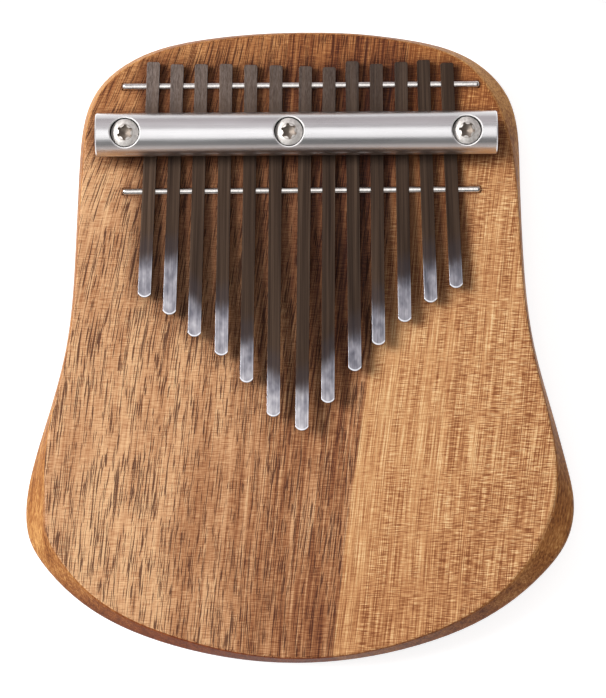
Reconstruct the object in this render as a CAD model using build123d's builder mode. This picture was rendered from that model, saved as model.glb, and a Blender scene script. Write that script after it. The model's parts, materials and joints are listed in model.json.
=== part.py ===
"""Board mbira: thirteen sprung steel tines held on a solid wooden board by a round pressure bar.

Frame: millimetres, +Z up, origin at the centre of the board's flat back. +Y runs from the player's
thumbs to the far end of the board, +X to the player's right. The tines lie along Y and point to -Y.

Each tine is one strip of spring steel. It is written as two nodes, a clamped part and a free tongue,
that part at a hairline above the front bridge rod, which is where the real strip bends when plucked.
"""

import os
from math import cos, radians, sin

from build123d import *

# --- driving dimensions (mm) ---

BOARD_THICKNESS = 20.0
SHOULDER_ROUNDING = 2.0
BACK_ROUNDING = 2.5

# The front bevel's sections, bottom to top: depth below the face, the share of the bevel's reach
# that is used up there, and a further reach in mm. The last two round its upper edge over.
BEVEL_SECTIONS = [
    (5.0, 0.0, 0.0),
    (0.5, 0.9, 0.0),
    (0.15, 0.97, 0.2),
    (0.0, 1.0, 0.6),
]

# Board outline, clockwise from the far end: x, y and how far the front bevel reaches in from there.
# The board is shaped by hand, so its two sides differ a little and the bevel is widest at the corners.
BOARD_OUTLINE = [
    (1.0, 88.4, 1.2),
    (15.6, 88.0, 1.2),
    (29.3, 86.4, 1.5),
    (49.6, 80.0, 2.7),
    (59.1, 70.1, 4.3),
    (62.3, 50.0, 1.8),
    (63.0, 25.0, 0.9),
    (65.6, 0.0, 0.9),
    (70.7, -20.0, 1.6),
    (74.5, -34.5, 3.4),
    (76.25, -44.5, 6.0),
    (74.2, -55.0, 7.3),
    (68.2, -63.3, 5.9),
    (52.6, -75.6, 3.4),
    (32.3, -83.8, 2.0),
    (-0.6, -88.4, 1.2),
    (-35.5, -83.3, 2.4),
    (-58.8, -72.8, 3.4),
    (-70.4, -62.0, 4.6),
    (-75.2, -54.0, 5.3),
    (-76.25, -45.0, 5.6),
    (-74.0, -32.5, 3.3),
    (-69.0, -16.0, 1.0),
    (-65.0, 0.0, 0.8),
    (-62.5, 25.0, 0.8),
    (-61.2, 51.0, 1.2),
    (-56.3, 72.0, 1.6),
    (-45.2, 81.3, 1.7),
    (-26.0, 86.6, 1.5),
]

BRIDGE_ROD_DIAMETER = 2.0
BRIDGE_ROD_LENGTH = 100.0
BRIDGE_ROD_CENTRE_X = 1.0
BRIDGE_ROD_END_ROUNDING = 0.8
FRONT_BRIDGE_Y = 42.85
BRIDGE_SPACING = 29.6
GROOVE_CLEARANCE = 0.02

BAR_DIAMETER = 12.0
BAR_LENGTH = 111.0
BAR_CENTRE_X = -0.3
BAR_END_CHAMFER = 0.3

SCREW_X = {"left": -47.6, "middle": -2.35, "right": 46.75}
SCREW_RECESS_TURN = {"left": 25.0, "middle": 39.0, "right": 52.0}  # how far each was driven home
SCREW_LENGTH = 25.0
SCREW_HEAD_DIAMETER = 7.6
SCREW_RIM_HEIGHT = 0.4
SCREW_DOME_HEIGHT = 1.0
SCREW_SHANK_DIAMETER = 3.0
SCREW_CORE_DIAMETER = 2.6
SCREW_THREAD_DIAMETER = 4.0
SCREW_THREAD_PITCH = 2.0
SCREW_POINT_LENGTH = 3.0
SCREW_RIM_BELOW_CREST = 2.45  # from the bar's crest down to the edge of the head's rim
RECESS_ACROSS_LOBES = 4.4
RECESS_ACROSS_VALLEYS = 3.15
RECESS_VALLEY_RADIUS = 0.9
RECESS_DEPTH = 1.35
RECESS_FLOOR_RADIUS = 1.6  # of the shallow cone that the recess ends in
RECESS_FLOOR_DEPTH = 0.7
SEAT_DIAMETER = 8.2
SEAT_CLEARANCE = 0.02
SHANK_HOLE_DIAMETER = 4.4
PILOT_DIAMETER = 3.1
PILOT_DEPTH = 16.0
MOUTH_CHAMFER = 0.35

TINE_WIDTH = 3.6
TINE_THICKNESS = 1.2
TINE_EDGE_ROUNDING = 0.25
TINE_TIP_CROWN = 1.05
TINE_TAIL_CHAMFER = 0.4
TINE_DIP = 0.5  # how far the bar presses each strip down between the bridges
TINE_LIFT = 0.1  # running clearance above the bridge rods
BAR_LIFT = 0.05  # running clearance under the pressure bar
TONGUE_GAP = 0.14  # hairline between a tine's clamped part and its tongue

# The tines, left to right: x above the front bridge, turn from the Y axis in degrees, length from
# the front bridge to the tip, and length behind the rear bridge. They are fitted and tuned by hand.
TINES = [
    (-41.5, -2.4, 30.1, 6.5),
    (-34.6, -2.0, 35.0, 5.8),
    (-27.7, -1.7, 41.2, 5.8),
    (-20.5, -1.2, 46.5, 5.8),
    (-13.5, -1.1, 54.1, 5.5),
    (-6.3, -0.8, 63.6, 5.3),
    (1.8, -1.0, 67.5, 5.0),
    (8.6, -0.7, 59.9, 4.7),
    (15.4, 0.0, 51.1, 6.3),
    (22.1, -0.1, 43.9, 5.5),
    (29.2, 0.2, 37.5, 6.0),
    (36.0, 1.1, 32.1, 6.5),
    (42.9, 1.7, 28.1, 5.7),
]

# --- dimensions that follow ---

REAR_BRIDGE_Y = FRONT_BRIDGE_Y + BRIDGE_SPACING
BAR_Y = FRONT_BRIDGE_Y + BRIDGE_SPACING / 2
TINE_UNDERSIDE_Z = BOARD_THICKNESS + BRIDGE_ROD_DIAMETER / 2 + TINE_LIFT
BAR_AXIS_Z = (
    TINE_UNDERSIDE_Z - TINE_DIP + TINE_THICKNESS + BAR_LIFT + BAR_DIAMETER / 2
)
RIM_Z = BAR_AXIS_Z + BAR_DIAMETER / 2 - SCREW_RIM_BELOW_CREST
SCREW_HEAD_TOP_Z = RIM_Z + SCREW_RIM_HEIGHT + SCREW_DOME_HEIGHT
SCREW_TIP_Z = RIM_Z - SCREW_LENGTH
CUT_HEIGHT = 40.0  # taller than anything that is cut through


def save(piece: Part, label: str) -> None:
    """Labels a finished piece and writes it as its own STEP file."""
    piece.label = label
    export_step(piece, f"parts/{label}.step")


# --- board ---


def bevel_points(share: float, extra: float) -> list[Vector]:
    """The outline's points, moved in along its normals by that share of the bevel and a bit more."""
    outline = Spline(*[(x, y) for x, y, _ in BOARD_OUTLINE], periodic=True)
    points = []
    for x, y, reach in BOARD_OUTLINE:
        tangent = outline.tangent_at(outline.param_at_point(Vector(x, y)))
        inward = tangent.rotate(Axis.Z, -90).normalized()
        points.append(Vector(x, y) + inward * (share * reach + extra))
    return points


def board_section(depth: float, share: float, extra: float) -> Sketch:
    """A closed, smooth section of the board, that deep below its face."""
    points = bevel_points(share, extra)
    with BuildSketch(Plane.XY.offset(BOARD_THICKNESS - depth)) as section:
        with BuildLine():
            Spline(*points, periodic=True)
        make_face()
    return section.sketch


def make_board() -> Part:
    """The solid board: bevelled front, rounded back, two rod grooves and three pilot holes."""
    sections = [board_section(*section) for section in BEVEL_SECTIONS]
    shoulder_z = BOARD_THICKNESS - BEVEL_SECTIONS[0][0]

    with BuildPart() as board:
        extrude(sections[0], amount=-shoulder_z)
        for lower, upper in zip(sections, sections[1:]):
            loft([lower, upper], ruled=True)
        fillet(board.faces().sort_by(Axis.Z)[0].edges(), BACK_ROUNDING)
        shoulder = board.edges().filter_by_position(Axis.Z, shoulder_z, shoulder_z)
        fillet(shoulder, SHOULDER_ROUNDING)

        groove_radius = BRIDGE_ROD_DIAMETER / 2 + GROOVE_CLEARANCE
        for bridge_y in (FRONT_BRIDGE_Y, REAR_BRIDGE_Y):
            with Locations((BRIDGE_ROD_CENTRE_X, bridge_y, BOARD_THICKNESS)):
                Cylinder(
                    groove_radius,
                    BRIDGE_ROD_LENGTH + 2 * GROOVE_CLEARANCE,
                    rotation=(0, 90, 0),
                    mode=Mode.SUBTRACT,
                )
        with Locations([(x, BAR_Y, BOARD_THICKNESS) for x in SCREW_X.values()]):
            Hole(PILOT_DIAMETER / 2, depth=PILOT_DEPTH)
    return board.part


# --- bridges and pressure bar ---


def make_bridge_rod(bridge_y: float) -> Part:
    """A round steel rod, half sunk in the board's face, that the tines bear on."""
    with BuildPart() as rod:
        with Locations((BRIDGE_ROD_CENTRE_X, bridge_y, BOARD_THICKNESS)):
            Cylinder(BRIDGE_ROD_DIAMETER / 2, BRIDGE_ROD_LENGTH, rotation=(0, 90, 0))
        fillet(rod.edges().filter_by(GeomType.CIRCLE), BRIDGE_ROD_END_ROUNDING)
    return rod.part


def make_pressure_bar() -> Part:
    """The round aluminium bar, countersunk deep enough that the screw heads sit inside it."""
    seat_depth_z = RIM_Z + (SEAT_DIAMETER - SCREW_HEAD_DIAMETER) / 2 - SEAT_CLEARANCE
    with BuildPart() as bar:
        with Locations((BAR_CENTRE_X, BAR_Y, BAR_AXIS_Z)):
            Cylinder(BAR_DIAMETER / 2, BAR_LENGTH, rotation=(0, 90, 0))
        chamfer(bar.edges().filter_by(GeomType.CIRCLE), BAR_END_CHAMFER)
        with Locations([(x, BAR_Y, seat_depth_z) for x in SCREW_X.values()]):
            CounterSinkHole(
                SHANK_HOLE_DIAMETER / 2,
                SEAT_DIAMETER / 2,
                depth=CUT_HEIGHT,
                counter_sink_angle=90,
            )
        mouths = bar.edges().filter_by(GeomType.BSPLINE).group_by(Axis.Z)[-1]
        chamfer(mouths, MOUTH_CHAMFER)
    return bar.part


# --- screws ---


def screw_half_profile() -> list[tuple[float, float]]:
    """The screw's outline from the rim of its head to its point, as distance from the axis and z."""
    head, shank = SCREW_HEAD_DIAMETER / 2, SCREW_SHANK_DIAMETER / 2
    core, crest = SCREW_CORE_DIAMETER / 2, SCREW_THREAD_DIAMETER / 2
    points = [(head, RIM_Z + SCREW_RIM_HEIGHT), (head, RIM_Z)]
    points += [(shank, RIM_Z - (head - shank)), (shank, BOARD_THICKNESS - 0.5)]
    ring_z = BOARD_THICKNESS - 1.0
    while ring_z - SCREW_THREAD_PITCH > SCREW_TIP_Z + SCREW_POINT_LENGTH:
        points += [(core, ring_z), (crest, ring_z - 0.35 * SCREW_THREAD_PITCH)]
        points.append((core, ring_z - 0.55 * SCREW_THREAD_PITCH))
        ring_z -= SCREW_THREAD_PITCH
    points += [(core, SCREW_TIP_Z + SCREW_POINT_LENGTH), (0, SCREW_TIP_Z)]
    return points


def make_screw(x: float, recess_turn: float) -> Part:
    """A raised countersunk wood screw with a six-lobe recess. Its thread is drawn as rings."""
    upright = Plane(origin=(x, BAR_Y, 0), x_dir=(1, 0, 0), z_dir=(0, -1, 0))
    crown = Plane.XY.offset(SCREW_HEAD_TOP_Z)
    outline = screw_half_profile()
    rim_top = outline[0]
    dome_radius = (rim_top[0] ** 2 + SCREW_DOME_HEIGHT**2) / (2 * SCREW_DOME_HEIGHT)

    with BuildPart() as screw:
        with BuildSketch(upright):
            with BuildLine():
                dome = RadiusArc((0, SCREW_HEAD_TOP_Z), rim_top, dome_radius)
                Polyline(*outline)
                Line(outline[-1], dome @ 0)
            make_face()
        revolve(axis=Axis((x, BAR_Y, 0), (0, 0, 1)))
        with BuildSketch(crown):
            with Locations(Location((x, BAR_Y), recess_turn)):
                Circle(RECESS_ACROSS_LOBES / 2)
                valley = RECESS_ACROSS_VALLEYS / 2 + RECESS_VALLEY_RADIUS
                with PolarLocations(valley, 6, start_angle=30):
                    Circle(RECESS_VALLEY_RADIUS, mode=Mode.SUBTRACT)
        extrude(amount=-RECESS_DEPTH, mode=Mode.SUBTRACT)
        with Locations((x, BAR_Y, SCREW_HEAD_TOP_Z - RECESS_DEPTH)):
            Cone(
                0.1,
                RECESS_FLOOR_RADIUS,
                RECESS_FLOOR_DEPTH,
                align=(Align.CENTER, Align.CENTER, Align.MAX),
                mode=Mode.SUBTRACT,
            )
    return screw.part


# --- tines ---


def make_tine(x: float, turn: float, free: float, tail: float) -> tuple[Part, Part]:
    """One tine as its clamped part and its tongue: a strip that dips under the bar and then rises."""
    across = Vector(cos(radians(turn)), sin(radians(turn)))
    along = Vector(-sin(radians(turn)), cos(radians(turn)))
    foot = Vector(x, FRONT_BRIDGE_Y)
    side = Plane(origin=foot, x_dir=along, z_dir=across)
    above = Plane(origin=foot + Vector(0, 0, BOARD_THICKNESS), x_dir=across)
    far_end = BRIDGE_SPACING + tail
    half = TINE_WIDTH / 2

    with BuildPart() as tine:
        with BuildSketch(side):
            with BuildLine():
                dip = ThreePointArc(
                    (0, TINE_UNDERSIDE_Z),
                    (BRIDGE_SPACING / 2, TINE_UNDERSIDE_Z - TINE_DIP),
                    (BRIDGE_SPACING, TINE_UNDERSIDE_Z),
                )
                Line(dip @ 0, dip @ 0 - (dip % 0) * (free + 1))
                Line(dip @ 1, dip @ 1 + (dip % 1) * (tail + 1))
                offset(amount=TINE_THICKNESS, side=Side.LEFT)
            make_face()
        extrude(amount=half, both=True)
        with BuildSketch(above):
            with BuildLine():
                tip = ThreePointArc(
                    (-half, TINE_TIP_CROWN - free),
                    (0, -free),
                    (half, TINE_TIP_CROWN - free),
                )
                Polyline(
                    tip @ 1,
                    (half, far_end - TINE_TAIL_CHAMFER),
                    (half - TINE_TAIL_CHAMFER, far_end),
                    (TINE_TAIL_CHAMFER - half, far_end),
                    (-half, far_end - TINE_TAIL_CHAMFER),
                    tip @ 0,
                )
            make_face()
        extrude(amount=BOARD_THICKNESS, mode=Mode.INTERSECT)
        sides = tine.faces().sort_by(Axis(foot, across))
        tip_face = tine.faces().sort_by(Axis(foot, along))[0]
        rims = sides[0].edges() + sides[-1].edges() + tip_face.edges()
        fillet(rims.filter_by(Axis.Z, reverse=True), TINE_EDGE_ROUNDING)

    hairline = TONGUE_GAP / 2
    with BuildPart() as clamped:
        add(tine.part)
        cut = Plane(origin=foot + along * hairline, z_dir=along)
        split(bisect_by=cut, keep=Keep.TOP)
    with BuildPart() as tongue:
        add(tine.part)
        cut = Plane(origin=foot - along * hairline, z_dir=along)
        split(bisect_by=cut, keep=Keep.BOTTOM)
    return clamped.part, tongue.part


# --- build and write every piece ---

os.makedirs("parts", exist_ok=True)

save(make_board(), "board")
save(make_pressure_bar(), "pressure_bar")
save(make_bridge_rod(FRONT_BRIDGE_Y), "front_bridge_rod")
save(make_bridge_rod(REAR_BRIDGE_Y), "rear_bridge_rod")
for place, screw_x in SCREW_X.items():
    save(make_screw(screw_x, SCREW_RECESS_TURN[place]), f"screw_{place}")
for number, tine in enumerate(TINES, start=1):
    clamped_part, tongue_part = make_tine(*tine)
    save(clamped_part, f"tine_{number:02d}_clamped")
    save(tongue_part, f"tine_{number:02d}_tongue")
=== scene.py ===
"""Looks of the board mbira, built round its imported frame: metres, +Z up, thumbs at -Y."""

import json
from math import asin, ceil, cos, radians, sin, sqrt
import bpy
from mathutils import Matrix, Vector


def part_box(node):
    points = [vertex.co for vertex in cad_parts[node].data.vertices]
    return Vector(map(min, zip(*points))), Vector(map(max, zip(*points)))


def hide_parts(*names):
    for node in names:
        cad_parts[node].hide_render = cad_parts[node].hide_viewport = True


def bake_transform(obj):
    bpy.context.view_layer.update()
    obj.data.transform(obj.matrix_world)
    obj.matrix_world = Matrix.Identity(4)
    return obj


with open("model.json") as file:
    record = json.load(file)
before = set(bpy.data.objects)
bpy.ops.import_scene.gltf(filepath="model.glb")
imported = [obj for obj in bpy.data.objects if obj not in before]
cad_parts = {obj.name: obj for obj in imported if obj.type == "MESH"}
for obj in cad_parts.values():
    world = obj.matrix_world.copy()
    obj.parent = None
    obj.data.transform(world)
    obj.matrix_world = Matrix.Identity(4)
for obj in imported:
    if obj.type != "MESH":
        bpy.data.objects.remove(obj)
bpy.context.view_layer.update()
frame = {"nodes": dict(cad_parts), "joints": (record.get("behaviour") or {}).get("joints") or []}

from types import SimpleNamespace

import bmesh
import bpy
from mathutils import Matrix, Vector

nodes = frame["nodes"]

MM = 0.001  # the values below are in millimetres, unless they say otherwise

# --- the pressure bar's screw wells, the screws' recesses and the painted shade between the tines ---

WELL_RADIUS = 4.1
MOUTH_RADIUS = 4.45  # outside the chamfer round a well
RECESS_RADIUS = 2.2
MASK_BLUR = 0.03  # half the width over which the bare metal gives way to the painted shade and highlight of the wells and recesses
SHADE_REACH = 6.0  # from a spot of wood to the tines that shelter it

# --- the tines, each one strip that stands for its clamped part and its tongue ---

TINE_WIDTH = 3.6
TINE_THICKNESS = 1.2
TINE_UNDERSIDE = 21.1  # above the board's back, over both bridges
TINE_DIP = 0.5  # under the bar, half way between the bridges
BRIDGE_SPACING = 29.6
TIP_CROWN = 1.05
TIP_CROWN_START = 0.4  # before the crown, where the last even station lies
TIP_SEGMENTS = 8
TAIL_CHAMFER = 0.4
RIM_ROUNDING = 0.25
RIM_SEGMENTS = 3
STATION_STEP = 1.2

# Each tine's ground tip, from the left: its length and its slant across the strip, then how warm
# the temper colour behind it is and how bright the ground steel is.
GROUND_TIPS = [
    (11.4, 0.3, 0.08, -0.13),
    (16.8, 0.2, 0.00, -0.12),
    (10.6, -0.9, -0.02, -0.10),
    (14.2, 0.2, 0.00, -0.10),
    (12.1, 0.1, -0.03, -0.11),
    (12.4, -0.4, -0.02, -0.04),
    (12.2, 0.2, -0.01, 0.08),
    (12.6, 0.9, -0.04, -0.05),
    (10.6, 0.2, -0.05, -0.20),
    (11.3, -0.3, -0.03, -0.20),
    (12.8, 0.2, -0.06, -0.22),
    (11.8, 0.1, -0.05, -0.25),
    (8.1, 0.3, -0.06, -0.25),
]

# --- the stage and the camera, which looks almost straight down from the player's side ---

FLOOR_REACH = 4000.0
FLOOR_DROP = 0.05  # below the board's back
GLOW_REACH = (86, 98)  # each way from the middle, to where the floor's glow starts to fade
CAMERA_DISTANCE = 900.0
CAMERA_ELEVATION = radians(85)
CAMERA_ROLL = radians(-0.42)
CAMERA_FOCAL_LENGTH = 167.1
CAMERA_SENSOR_WIDTH = 36.0
CAMERA_TARGET = (1.12, -1.56, 20.0)

# --- materials: a small helper, then each real material. In each function, s is its Shader. ---


class Shader:
    """One node tree. Each method adds nodes and returns the output to use next."""

    def __init__(self, owner, surface="Principled BSDF"):
        self.owner = owner
        self.owner.use_nodes = True
        self.tree = owner.node_tree
        self.surface = self.tree.nodes[surface]

    def feed(self, socket, value):
        if isinstance(value, bpy.types.NodeSocket):
            self.tree.links.new(value, socket)
        else:
            socket.default_value = value

    def add(self, kind, inputs, **settings):
        node = self.tree.nodes.new(kind)
        for name, value in settings.items():
            setattr(node, name, value)
        for key, value in inputs.items():
            self.feed(node.inputs[key], value)
        return node

    def set(self, **sockets):
        """Feeds the surface's sockets, written with underscores for spaces."""
        for name, value in sockets.items():
            self.feed(self.surface.inputs[name.replace("_", " ")], value)

    def math(self, operation, a, b=0.0, c=0.0):
        node = self.add("ShaderNodeMath", {0: a, 1: b, 2: c}, operation=operation)
        return node.outputs[0]

    def weighted(self, *terms):
        """The sum of the (value, weight) terms."""
        total = 0.0
        for value, weight in terms:
            total = self.math("MULTIPLY_ADD", value, weight, total)
        return total

    def place(self):
        """The point on the object, in millimetres."""
        point = self.add("ShaderNodeTexCoord", {}).outputs["Object"]
        return self.stretch(point, 1000.0, 1000.0, 1000.0)

    def stretch(self, point, x, y, z):
        inputs = {0: point, 1: (x, y, z)}
        return self.add("ShaderNodeVectorMath", inputs, operation="MULTIPLY").outputs[0]

    def split(self, point):
        return self.add("ShaderNodeSeparateXYZ", {0: point}).outputs

    def join(self, x, y, z):
        return self.add("ShaderNodeCombineXYZ", {0: x, 1: y, 2: z}).outputs[0]

    def attribute(self, name):
        return self.add("ShaderNodeAttribute", {}, attribute_name=name).outputs["Fac"]

    def noise(self, point, size, detail=2.0, rough=0.5, seed=0.0):
        """Noise from 0 to 1 about 0.5, with features of that size in mm along x, y and z."""
        shifted = self.add(
            "ShaderNodeVectorMath",
            {0: point, 1: tuple(1 / s for s in size), 2: (seed, seed * 1.7, seed * 0.6)},
            operation="MULTIPLY_ADD",
        ).outputs[0]
        inputs = {"Vector": shifted, "Scale": 1.0, "Detail": detail, "Roughness": rough}
        return self.add("ShaderNodeTexNoise", inputs).outputs[0]

    def remap(self, value, low, high, to_low=0.0, to_high=1.0, kind="SMOOTHSTEP"):
        inputs = {0: value, 1: low, 2: high, 3: to_low, 4: to_high}
        return self.add("ShaderNodeMapRange", inputs, interpolation_type=kind).outputs[0]

    def ramp(self, value, stops):
        """A colour ramp. Each stop is (place, (red, green, blue)) in 0 to 255 display values."""
        node = self.add("ShaderNodeValToRGB", {0: value})
        elements = node.color_ramp.elements
        while len(elements) < len(stops):
            elements.new(0.5)
        for element, (at, colour) in zip(elements, stops):
            element.position = at
            element.color = tint(*colour)
        return node.outputs[0]

    def mix(self, share, a, b, blend="MIX"):
        inputs = {0: share, 6: a, 7: b}
        node = self.add("ShaderNodeMix", inputs, data_type="RGBA", blend_type=blend)
        return node.outputs[2]

    def bump(self, height, strength, depth_mm):
        inputs = {"Height": height, "Strength": strength, "Distance": depth_mm * MM}
        self.set(Normal=self.add("ShaderNodeBump", inputs).outputs[0])


def tint(red, green, blue):
    """A display colour, 0 to 255, as a linear one."""
    channels = [c / 255 for c in (red, green, blue)]
    linear = [c / 12.92 if c <= 0.04045 else ((c + 0.055) / 1.055) ** 2.4 for c in channels]
    return (*linear, 1.0)


def wood_fields(s):
    """The wood's place, grain, zones and noises, which its several colours share."""
    fields = SimpleNamespace(place=s.place())
    x, fields.y, z = s.split(fields.place)

    # The grain leans right, more towards the far end and most at the far left corner.
    leftward = s.math("MINIMUM", x, 0.0)
    farther = s.math("MAXIMUM", fields.y, 0.0)
    spread = s.math("MULTIPLY", s.math("MULTIPLY", leftward, leftward), farther)
    beyond = s.math("MAXIMUM", s.math("SUBTRACT", fields.y, 30.0), 0.0)
    curl = s.math("MULTIPLY", s.math("MULTIPLY", beyond, beyond), leftward)
    wander = s.noise(fields.place, (45, 120, 45), detail=1, seed=3.1)
    across = s.weighted(
        (x, 1.0), (fields.y, -0.118), (spread, -2e-5), (curl, 1e-4), (wander, 7.0), (z, 0.45)
    )
    fields.grain = s.join(across, fields.y, z)

    # The heartwood ends at a clean line that leans like the grain.
    ragged = s.noise(fields.grain, (2.0, 14, 2.0), seed=8.0)
    wavy = s.noise(fields.place, (60, 70, 60), detail=0, seed=1.0)
    fields.from_edge = s.weighted(
        (x, 1.0), (fields.y, -0.1435), (z, 0.45), (ragged, 1.6), (wavy, 3.0), (1.0, -31.3)
    )
    fields.sapwood = s.remap(fields.from_edge, -0.35, 0.35)

    fields.far_end = s.remap(fields.y, 40, 80)
    fields.low_end = s.remap(fields.y, -40, -75)
    fields.left_corner = s.math("MULTIPLY", fields.far_end, s.remap(x, -28, -58))
    fields.right_corner = s.math("MULTIPLY", s.remap(fields.y, 30, 70), s.remap(x, 25, 50))
    fields.right_side = s.math("MULTIPLY", s.remap(x, 40, 62), s.remap(fields.y, 25, 0))

    fields.broad = s.noise(fields.grain, (10, 200, 10), detail=2, seed=0.0)
    fields.streaks = s.noise(fields.grain, (2.2, 60, 2.2), detail=3, rough=0.6, seed=5.0)
    fields.fibres = s.noise(fields.grain, (0.30, 14, 0.30), detail=2, rough=0.6, seed=2.0)
    fields.hatch = s.noise(fields.grain, (3.4, 0.24, 3.4), detail=1, rough=0.6, seed=7.0)
    fields.threads = s.noise(fields.grain, (0.30, 16, 0.30), detail=1, rough=0.6, seed=9.0)
    fields.patches = s.noise(fields.place, (16, 24, 16), detail=2, seed=4.0)
    return fields


def open_pores(s, fields):
    """Short, thin, dark dashes along the grain, crowded in some places."""
    crowd = s.remap(fields.patches, 0.35, 0.65, 0.60, 0.545, kind="LINEAR")
    dashes = s.noise(fields.grain, (0.30, 7, 0.30), detail=1, seed=6.0)
    long_dashes = s.noise(fields.grain, (0.34, 20, 0.34), detail=1, seed=12.0)
    short = s.remap(s.math("SUBTRACT", dashes, crowd), 0.02, 0.05)
    long = s.remap(s.math("SUBTRACT", long_dashes, crowd), 0.04, 0.07)
    return s.math("MAXIMUM", short, long)


def heartwood(s, fields, pores):
    """The brown wood of the left side, darker and more striped beside the sapwood."""
    near_edge = s.remap(fields.from_edge, -60, -5)
    stripes = s.noise(fields.grain, (0.9, 45, 0.9), detail=2, rough=0.6, seed=14.0)
    by_edge = s.math("MULTIPLY", near_edge, s.math("SUBTRACT", stripes, 0.5))
    tone = s.weighted(
        (fields.broad, 0.75), (fields.streaks, 0.50), (fields.fibres, 0.85), (fields.hatch, 0.95),
        (fields.patches, 0.45), (by_edge, 1.3), (near_edge, -0.34), (fields.far_end, -0.16),
        (fields.left_corner, -0.22), (1.0, -0.985),
    )
    colour = s.ramp(tone, [
        (0.0, (84, 42, 24)), (0.25, (130, 77, 45)), (0.5, (163, 111, 72)),
        (0.75, (196, 146, 104)), (1.0, (222, 178, 132)),
    ])
    return s.mix(s.math("MULTIPLY", pores, 0.85), colour, tint(68, 32, 22))


def pale_sapwood(s, fields):
    """The right side's wood, in clean golden bands and pinkish, finely cross-hatched ones."""
    bands = s.noise(fields.grain, (4.2, 220, 4.2), detail=2, rough=0.6, seed=11.0)
    beside_heart = s.remap(fields.from_edge, 2, 11, 1.0, 0.0)
    clean = s.weighted((bands, 1.0), (beside_heart, 0.18), (fields.patches, 0.3), (1.0, -0.15))
    hatch_strength = s.remap(clean, 0.38, 0.66, 2.4, 0.8, kind="LINEAR")
    hatch_pull = s.math("MULTIPLY", s.math("SUBTRACT", fields.hatch, 0.5), hatch_strength)
    tone = s.weighted(
        (clean, 0.8), (hatch_pull, 1.15), (fields.threads, 1.75), (fields.far_end, -0.38),
        (fields.low_end, -0.11), (fields.right_side, 0.09), (1.0, -0.795),
    )
    return s.ramp(tone, [
        (0.0, (128, 74, 40)), (0.25, (162, 106, 64)), (0.5, (190, 135, 88)),
        (0.75, (212, 162, 110)), (1.0, (234, 198, 148)),
    ])


def sanded_edge(s, fields):
    """Edges and bevels, which are redder and darker than the face; at the thumbs' end they are made
    darker still as painted shade.
    """
    specks = s.noise(fields.grain, (0.5, 1.6, 0.5), detail=2, rough=0.6, seed=15.0)
    tone = s.weighted(
        (fields.streaks, 1.0), (fields.fibres, 1.1), (specks, 1.1), (fields.broad, 0.5),
        (fields.patches, 0.4), (fields.sapwood, -0.06), (fields.right_corner, 0.28),
        (fields.left_corner, 0.25), (1.0, -1.57),
    )
    colour = s.ramp(tone, [
        (0.0, (94, 46, 20)), (0.5, (164, 105, 56)), (1.0, (216, 162, 98)),
    ])
    # Painted shade: the edges at the thumbs' end are made darker, less so in the sapwood.
    in_heartwood = s.remap(fields.sapwood, 0.0, 1.0, 1.0, 0.45)
    painted_end_shade = s.math("MULTIPLY", s.remap(fields.y, -60, -84), in_heartwood)
    return s.mix(painted_end_shade, colour, tint(194, 140, 92), blend="MULTIPLY")


def wood():
    """Oiled hardwood: brown heartwood on the left, pale cross-hatched sapwood on the right."""
    s = Shader(bpy.data.materials.new("oiled_hardwood"))
    fields = wood_fields(s)
    pores = open_pores(s, fields)
    face = s.mix(fields.sapwood, heartwood(s, fields, pores), pale_sapwood(s, fields))
    # The face is made darker and warmer towards the far end.
    face = s.mix(fields.far_end, face, tint(255, 245, 220), blend="MULTIPLY")
    normal_z = s.split(s.add("ShaderNodeNewGeometry", {}).outputs["Normal"])[2]
    edge = s.remap(s.math("ABSOLUTE", normal_z), 0.80, 0.97, 1.0, 0.0)
    colour = s.mix(edge, face, sanded_edge(s, fields))

    # Painted shade: ambient occlusion darkens the wood's colour where nearby parts shelter it, most in
    # the narrow gaps between the tines and under the bar.
    inputs = {"Distance": SHADE_REACH * MM}
    open_sky = s.add("ShaderNodeAmbientOcclusion", inputs, samples=4).outputs["AO"]
    painted_gap_shade = s.remap(open_sky, 0.95, 0.70, kind="LINEAR")
    s.set(Base_Color=s.mix(painted_gap_shade, colour, tint(150, 126, 110), blend="MULTIPLY"))

    # The sanded edges are also smoother than the face.
    rough = s.weighted((fields.fibres, 0.25), (pores, 0.15), (1.0, 0.36))
    s.set(Roughness=rough, Specular_IOR_Level=0.15)
    relief = s.weighted((pores, -0.8), (fields.threads, 0.35), (fields.hatch, 0.3), (fields.fibres, 0.3))
    calm = s.math("MULTIPLY", relief, s.remap(edge, 0.0, 1.0, 1.0, 0.35, kind="LINEAR"))
    s.bump(calm, 0.6, 0.12)
    return s.owner


def distance_from_axis(s, place, centre):
    """How far that place is, in mm, from the upright axis through the centre."""
    x, y, _ = s.split(place)
    off_x = s.math("POWER", s.math("SUBTRACT", x, centre[0]), 2.0)
    off_y = s.math("POWER", s.math("SUBTRACT", y, centre[1]), 2.0)
    return s.math("SQRT", s.math("ADD", off_x, off_y))


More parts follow.
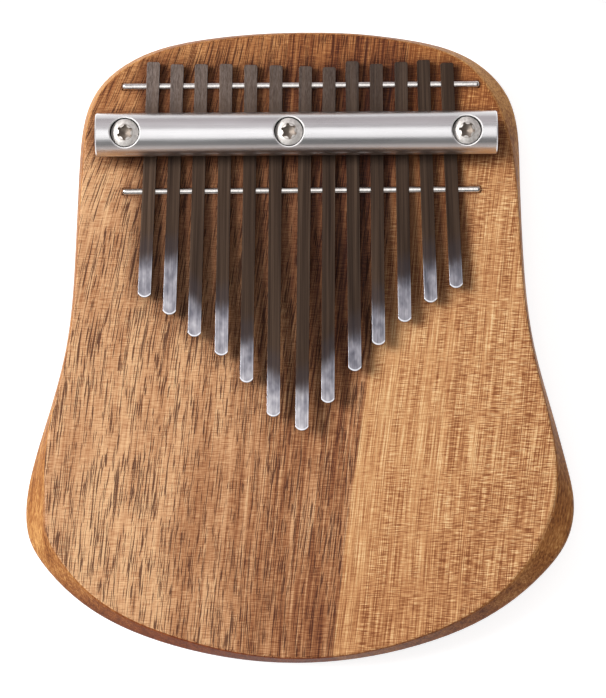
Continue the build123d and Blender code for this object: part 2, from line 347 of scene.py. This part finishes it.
def aluminium(wells):
    """Satin aluminium bar stock, drawn along its length. Its screw wells are painted dark within as
    shade, with a painted highlight round their mouths.
    """
    s = Shader(bpy.data.materials.new("satin_aluminium"))
    place = s.place()
    drawn = s.noise(place, (28, 0.10, 0.10), detail=2, seed=1.0)
    cloudy = s.noise(place, (14, 3, 3), detail=2, seed=2.0)
    colour = s.ramp(s.weighted((drawn, 0.6), (cloudy, 0.4)), [
        (0.3, (214, 212, 213)), (0.7, (232, 230, 231)),
    ])

    # Painted highlight: the chamfer round the mouth of each well is painted near white and less
    # metallic.
    from_well = MOUTH_RADIUS * 10
    for well in wells:
        from_well = s.math("MINIMUM", from_well, distance_from_axis(s, place, well))
    painted_shade_inside = s.remap(from_well, WELL_RADIUS + MASK_BLUR, WELL_RADIUS - MASK_BLUR)
    in_mouth = s.remap(from_well, MOUTH_RADIUS + MASK_BLUR, MOUTH_RADIUS - MASK_BLUR)
    mouth_highlight = s.math("SUBTRACT", in_mouth, painted_shade_inside)
    colour = s.mix(mouth_highlight, colour, tint(250, 248, 247))
    # Painted shade: each well is painted near black and rough within.
    colour = s.mix(painted_shade_inside, colour, tint(24, 20, 18))
    s.set(Base_Color=colour, Metallic=s.weighted((mouth_highlight, -0.75), (1.0, 1.0)), Anisotropic=0.35)
    s.set(Roughness=s.weighted((drawn, 0.12), (cloudy, 0.06), (painted_shade_inside, 0.5), (1.0, 0.20)))
    s.bump(drawn, 0.12, 0.01)
    return s.owner


def stainless(name, roughness, recess=None):
    """Bright stainless steel. A recess, given as its centre and rim height in mm, is painted darker as
    shade.
    """
    s = Shader(bpy.data.materials.new(name))
    place = s.place()
    cloudy = s.noise(place, (0.8, 0.8, 0.8), detail=2, seed=1.0)
    colour = s.ramp(cloudy, [(0.3, (206, 200, 195)), (0.7, (238, 234, 230))])
    if recess:
        top = recess[2]
        height = s.split(place)[2]
        from_axis = distance_from_axis(s, place, recess)
        near_axis = s.remap(from_axis, RECESS_RADIUS + 5 * MASK_BLUR, RECESS_RADIUS)
        painted_shade_inside = s.math("MULTIPLY", near_axis, s.remap(height, top, top - 0.3))
        # Painted shade: the recess is painted a darker warm brown.
        colour = s.mix(s.math("MULTIPLY", painted_shade_inside, 0.8), colour, tint(120, 104, 88))
    s.set(Base_Color=colour, Metallic=1.0)
    s.set(Roughness=s.weighted((cloudy, 0.08), (1.0, roughness - 0.04)))
    return s.owner


def spring_steel(number, ground, slant, warmth, polish):
    """Tempered brown-grey strip, brushed lengthwise, whose tip is ground bright and rounded."""
    s = Shader(bpy.data.materials.new(f"tempered_strip_{number:02d}"))
    from_tip = s.attribute("from_tip")
    across = s.attribute("across")
    strip = s.join(across, from_tip, float(number) * 7.0)

    brushing = s.noise(strip, (0.16, 26, 1.0), detail=3, rough=0.6, seed=1.0)
    bands = s.noise(strip, (0.9, 60, 1.0), detail=1, seed=2.0)
    dark_tone = s.weighted((brushing, 0.8), (bands, 0.8), (1.0, -0.30 + warmth))
    dark = s.ramp(dark_tone, [
        (0.2, (43, 33, 28)), (0.5, (65, 51, 42)), (0.8, (88, 71, 59)),
    ])

    # Behind the bar the temper colour of the left tines is rubbed thin and speckled.
    length = s.attribute("from_rear")
    specks = s.noise(strip, (0.20, 1.6, 1.0), detail=3, rough=0.7, seed=4.0)
    rubbed = s.math(
        "MULTIPLY", s.remap(length, 20, 4), s.remap(specks, 0.38, 0.62, 0.35, 1.0)
    )
    rubbed_share = max(0.0, 0.75 - 0.06 * number)
    dark = s.mix(s.math("MULTIPLY", rubbed, rubbed_share), dark, tint(134, 121, 115))

    grinding = s.noise(strip, (0.12, 18, 1.0), detail=2, rough=0.6, seed=6.0)
    sheen = s.noise(strip, (1.9, 4.0, 1.0), detail=2, seed=7.0)
    near_end = s.remap(from_tip, ground, 0.0, -0.14, 0.10, kind="LINEAR")
    bright_tone = s.weighted((grinding, 0.6), (sheen, 1.0), (near_end, 1.0), (1.0, polish - 0.31))
    bright = s.ramp(bright_tone, [
        (0.0, (84, 83, 91)), (0.25, (120, 118, 126)), (0.5, (158, 155, 161)),
        (0.8, (206, 202, 205)),
    ])
    ragged = s.noise(strip, (0.5, 8, 1.0), detail=2, seed=8.0)
    reach = s.weighted((across, slant), (ragged, 2.4), (1.0, ground - 1.2))
    past = s.math("SUBTRACT", reach, from_tip)
    blank = s.remap(past, -2.6, 5.5, kind="SMOOTHERSTEP")

    # Heat from the grinding has blued the steel just behind the ground part.
    blued = s.math("MULTIPLY", s.remap(past, -8, -2.5), 0.3)
    dark = s.mix(blued, dark, tint(62, 61, 69))

    # Painted highlight: the rims of the ground end, along its sides and round its end, are painted near
    # white.
    from_side = s.remap(s.math("ABSOLUTE", across), 1.50, 1.70)
    squared = s.math("MULTIPLY", across, across)
    crown = s.math("MULTIPLY", squared, -TIP_CROWN / (TINE_WIDTH / 2) ** 2)
    from_end = s.remap(s.math("ADD", from_tip, crown), 0.55, 0.25)
    rim = s.math("MAXIMUM", s.math("MULTIPLY", from_side, 0.25), s.math("MULTIPLY", from_end, 0.8))
    colour = s.mix(blank, dark, bright)
    colour = s.mix(s.math("MULTIPLY", rim, blank), colour, tint(236, 236, 242))

    # Painted shade: the cut sides and ends, where the strip turns away from the light, are painted near
    # black.
    upward = s.split(s.add("ShaderNodeNewGeometry", {}).outputs["Normal"])[2]
    colour = s.mix(s.remap(upward, 0.80, 0.55), colour, tint(38, 33, 31))
    s.set(Base_Color=colour, Metallic=0.96)
    s.set(Roughness=s.weighted((brushing, 0.2), (blank, -0.08), (1.0, 0.30)))
    s.bump(s.weighted((brushing, 1.0), (grinding, 0.4)), 0.25, 0.02)
    return s.owner


def head_centre(screw):
    """The middle of the top of a packed screw, in millimetres."""
    low, high = (Vector(corner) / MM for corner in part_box(screw))
    return ((low.x + high.x) / 2, (low.y + high.y) / 2, high.z)


def paint(node, material):
    """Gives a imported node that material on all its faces."""
    for slot in nodes[node].material_slots:
        slot.material = material


# --- the tines' strips ---


def strip_stations(tail, free):
    """(place, half width) down the strip, from the rear end past the front bridge to the tip."""
    half = TINE_WIDTH / 2
    rear = -(BRIDGE_SPACING + tail)
    stations = [(rear, half - TAIL_CHAMFER), (rear + TAIL_CHAMFER, half)]
    start, stop = rear + 2 * TAIL_CHAMFER, free - TIP_CROWN - TIP_CROWN_START
    steps = ceil((stop - start) / STATION_STEP)
    stations += [(start + (stop - start) * i / steps, half) for i in range(steps + 1)]

    crown_radius = (half**2 + TIP_CROWN**2) / (2 * TIP_CROWN)
    widest = asin(half / crown_radius)
    for i in range(TIP_SEGMENTS):
        angle = widest * (1 - i / TIP_SEGMENTS)
        stations.append(
            (free - crown_radius * (1 - cos(angle)), crown_radius * sin(angle))
        )
    return stations


def strip_height(place):
    """The underside's height and slope (rise towards the tip) at that place from the bridge."""
    span = BRIDGE_SPACING
    radius = (span**2 / 4 + TINE_DIP**2) / (2 * TINE_DIP)
    slope = (span / 2) / sqrt(radius**2 - span**2 / 4)
    if place > 0:
        return TINE_UNDERSIDE + slope * place, slope
    if place < -span:
        return TINE_UNDERSIDE - slope * (place + span), -slope
    offset = place + span / 2
    drop = sqrt(radius**2 - offset**2)
    return TINE_UNDERSIDE + sqrt(radius**2 - span**2 / 4) - drop, offset / drop


def is_rim(edge):
    """Is this an edge round the strip's upper or lower face, and not one that only crosses it?"""
    a, b = edge.verts
    level = abs(a.co.z - b.co.z) < 1e-6
    first, second = edge.link_faces
    return level and first.normal.angle(second.normal) > radians(30)


def strip_blank(tail, free):
    """A straight strip along +Y, with rounded rims, its front bridge at the origin."""
    mesh = bmesh.new()
    rows = []
    for place, half in strip_stations(tail, free):
        corners = [(-half, 0.0), (half, 0.0), (half, TINE_THICKNESS), (-half, TINE_THICKNESS)]
        rows.append([mesh.verts.new((across, place, up)) for across, up in corners])
    for row, following in zip(rows, rows[1:]):
        for i in range(4):
            j = (i + 1) % 4
            mesh.faces.new((row[j], row[i], following[i], following[j]))
    mesh.faces.new(rows[0])
    mesh.faces.new(reversed(rows[-1]))
    bmesh.ops.recalc_face_normals(mesh, faces=mesh.faces)
    bmesh.ops.bevel(
        mesh, geom=[edge for edge in mesh.edges if is_rim(edge)], offset=RIM_ROUNDING,
        segments=RIM_SEGMENTS, profile=0.5, affect="EDGES", clamp_overlap=True,
    )
    for face in mesh.faces:
        face.smooth = True
    return mesh


def mark_places(mesh, tail, free):
    """Stores each point's place on the straight strip, in mm, for the strip's finish to read."""
    rules = {
        "from_tip": lambda co: free - co.y,
        "from_rear": lambda co: co.y + BRIDGE_SPACING + tail,
        "across": lambda co: co.x,
    }
    for name, rule in rules.items():
        layer = mesh.verts.layers.float.new(name)
        for vertex in mesh.verts:
            vertex[layer] = rule(vertex.co)


def seat_strip(mesh, foot, side, forward):
    """Moves the straight strip to its bridge and bends it under the bar and up to its tip."""
    for vertex in mesh.verts:
        across, place, up = vertex.co
        height, slope = strip_height(place)
        lean = up / sqrt(1 + slope**2)
        along = place - slope * lean if -BRIDGE_SPACING < place < 0 else place
        flat = foot + (side * across + forward * along) * MM
        vertex.co = flat + Vector((0, 0, (height + lean) * MM))


def places_along(node, foot, forward):
    """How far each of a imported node's points lies forward of the foot, in mm."""
    return [(v.co - foot).dot(forward) / MM for v in nodes[node].data.vertices]


def make_tine(number):
    """Builds one tine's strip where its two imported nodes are, bends it and gives it its finish."""
    clamped, tongue = f"tine_{number:02d}_clamped", f"tine_{number:02d}_tongue"
    joint = next(j for j in frame["joints"] if j["child"] == tongue)
    foot = Vector((joint["pos_m"][0], joint["pos_m"][1], 0.0))
    side = Vector(joint["axis"]).normalized()
    forward = Vector((side.y, -side.x, 0.0))
    free = max(places_along(tongue, foot, forward))
    tail = -min(places_along(clamped, foot, forward)) - BRIDGE_SPACING

    mesh = strip_blank(tail, free)
    mark_places(mesh, tail, free)
    seat_strip(mesh, foot, side, forward)
    data = bpy.data.meshes.new(f"tine_{number:02d}")
    mesh.to_mesh(data)
    mesh.free()
    strip = bpy.data.objects.new(f"tine_{number:02d}_strip", data)
    bpy.context.scene.collection.objects.link(strip)
    strip.data.materials.append(spring_steel(number, *GROUND_TIPS[number - 1]))
    strip.modifiers.new("even_shading", "WEIGHTED_NORMAL").keep_sharp = True

    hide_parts(clamped, tongue)
    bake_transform(strip)


# --- the object ---

paint("board", wood())
heads = {place: head_centre(f"screw_{place}") for place in ("left", "middle", "right")}
paint("pressure_bar", aluminium(heads.values()))
rod_steel = stainless("polished_rod_steel", 0.16)
for rod in ("front_bridge_rod", "rear_bridge_rod"):
    paint(rod, rod_steel)
for place, head in heads.items():
    paint(f"screw_{place}", stainless(f"satin_screw_steel_{place}", 0.60, recess=head))
for number in range(1, len(GROUND_TIPS) + 1):
    make_tine(number)

# --- stage: a pale floor, soft light and the camera ---


def make_floor():
    """A wide, plain, pale grey floor that glows white under and just round the object."""
    mesh = bpy.data.meshes.new("floor")
    corners = [(-1, -1), (1, -1), (1, 1), (-1, 1)]
    places = [(x * FLOOR_REACH * MM, y * FLOOR_REACH * MM, -FLOOR_DROP * MM) for x, y in corners]
    mesh.from_pydata(places, [], [(0, 1, 2, 3)])
    floor = bpy.data.objects.new("floor", mesh)
    bpy.context.scene.collection.objects.link(floor)

    s = Shader(bpy.data.materials.new("pale_floor"))
    x, y, _ = s.split(s.stretch(s.place(), 1 / GLOW_REACH[0], 1 / GLOW_REACH[1], 1.0))
    fourth_powers = s.math("ADD", s.math("POWER", x, 4.0), s.math("POWER", y, 4.0))
    distance = s.math("POWER", fourth_powers, 0.25)
    glow = s.remap(distance, 1.0, 1.28, 0.80, 0.30)
    s.set(Base_Color=(0.55, 0.55, 0.55, 1.0), Roughness=0.9, Specular_IOR_Level=0.1)
    s.set(Emission_Color=(1.0, 1.0, 1.0, 1.0), Emission_Strength=glow)
    mesh.materials.append(s.owner)


def add_softbox(name, place, target, size, watts):
    """A rectangular lamp at that place, turned to the target."""
    lamp = bpy.data.lights.new(name, "AREA")
    lamp.shape = "RECTANGLE"
    lamp.size, lamp.size_y = (side * MM for side in size)
    lamp.energy = watts
    holder = bpy.data.objects.new(name, lamp)
    bpy.context.scene.collection.objects.link(holder)
    holder.location = Vector(place) * MM
    direction = Vector(target) - Vector(place)
    holder.rotation_euler = direction.to_track_quat("-Z", "Y").to_euler()


def make_world():
    """Soft surrounding light: even beyond the far end, dimmer half way up nearer, dim beside."""
    world = bpy.data.worlds.new("studio")
    bpy.context.scene.world = world
    s = Shader(world, surface="Background")
    x, y, z = s.split(s.add("ShaderNodeTexCoord", {}).outputs["Generated"])
    far_side = s.ramp(z, [
        (0.0, (186, 178, 180)), (0.55, (198, 192, 194)), (0.75, (212, 207, 209)), (1.0, (160,) * 3),
    ])
    near_side = s.ramp(z, [
        (0.0, (204, 196, 192)), (0.2, (204, 196, 192)), (0.38, (124,) * 3), (0.8, (118,) * 3),
        (1.0, (150,) * 3),
    ])
    level = s.mix(s.remap(y, -0.3, 0.3), near_side, far_side)
    beside = s.remap(s.math("ABSOLUTE", x), 0.25, 0.75, 0.0, 0.75)
    s.set(Color=s.mix(beside, level, (0.04, 0.04, 0.04, 1.0)))


def make_camera():
    """The camera at the photograph's viewing angle."""
    back = Vector((0, -cos(CAMERA_ELEVATION), sin(CAMERA_ELEVATION)))
    turn = Matrix.Rotation(CAMERA_ROLL, 3, "Z")
    up = turn @ Vector((0, sin(CAMERA_ELEVATION), cos(CAMERA_ELEVATION)))
    back = turn @ back
    right = up.cross(back)
    camera = bpy.data.cameras.new("camera")
    camera.lens = CAMERA_FOCAL_LENGTH
    camera.sensor_width = CAMERA_SENSOR_WIDTH
    camera.clip_start, camera.clip_end = 0.05, 20.0
    holder = bpy.data.objects.new("camera", camera)
    bpy.context.scene.collection.objects.link(holder)
    axes = Matrix((right, up, back)).transposed().to_4x4()
    place = (Vector(CAMERA_TARGET) + back * CAMERA_DISTANCE) * MM
    holder.matrix_world = Matrix.Translation(place) @ axes
    bpy.context.scene.camera = holder


make_floor()
make_world()
add_softbox("key", (-1100, 250, 1250), target=(0, 0, 20), size=(700, 700), watts=30.8)
add_softbox("overhead", (-30, -160, 1500), target=(-30, -160, 0), size=(700, 1560), watts=3.7)
make_camera()
bpy.context.scene.view_settings.view_transform = "Standard"
